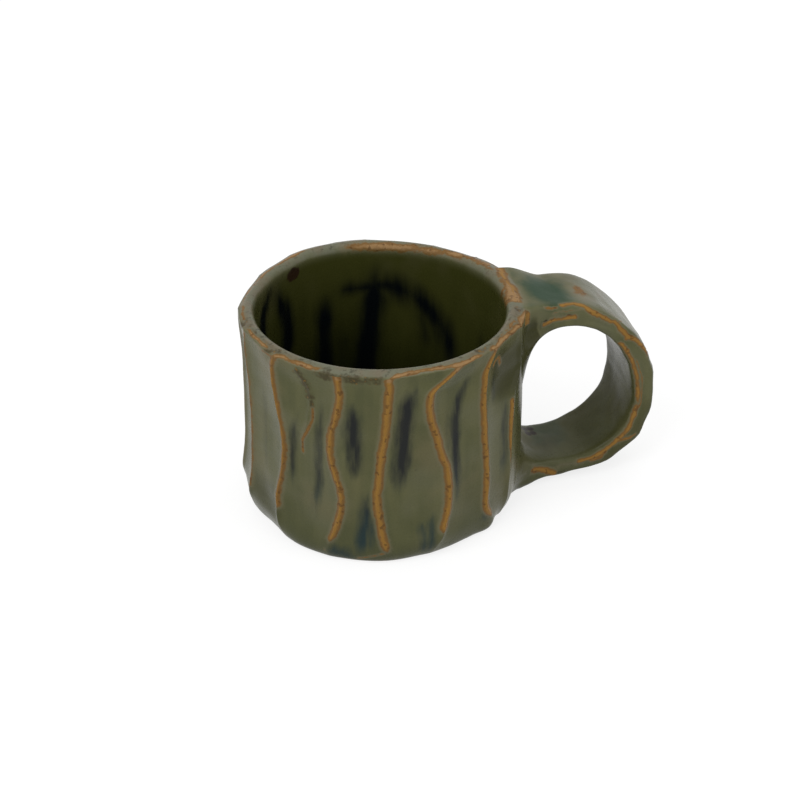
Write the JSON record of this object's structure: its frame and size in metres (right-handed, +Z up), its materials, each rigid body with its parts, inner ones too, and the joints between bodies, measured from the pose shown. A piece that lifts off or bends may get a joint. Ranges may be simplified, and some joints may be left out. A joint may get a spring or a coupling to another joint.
{
  "type": "carved stoneware cup",
  "caption": "Hand-carved stoneware cup with wavy upright ridges, a rounded foot and a wide ring handle with a thumb dent, in a glossy olive glaze that breaks rust brown on the edges.",
  "frame": {"origin": "centre of the base slab's flat underside, on the axis of the cup", "axes": "+Z up out of the mouth, +X out along the handle, the handle's ring lying in the XZ plane"},
  "size_m": [0.129, 0.0854, 0.0682],
  "materials": {
    "outer_glaze": "glossy olive glaze with blue-black runs, breaking rust brown on the ridges and edges",
    "liner_glaze": "glossy very dark olive glaze with blue-black runs",
    "base_clay": "glazed on the edge and inside, bare brown stoneware underneath"
  },
  "bodies": {
    "root": {"base_slab": "base_clay", "cup_wall": "outer_glaze", "floor_seam_coil": "liner_glaze", "handle_strap": "outer_glaze", "upper_joint_coil": "outer_glaze", "lower_joint_coil": "outer_glaze"}
  },
  "joints": []
}
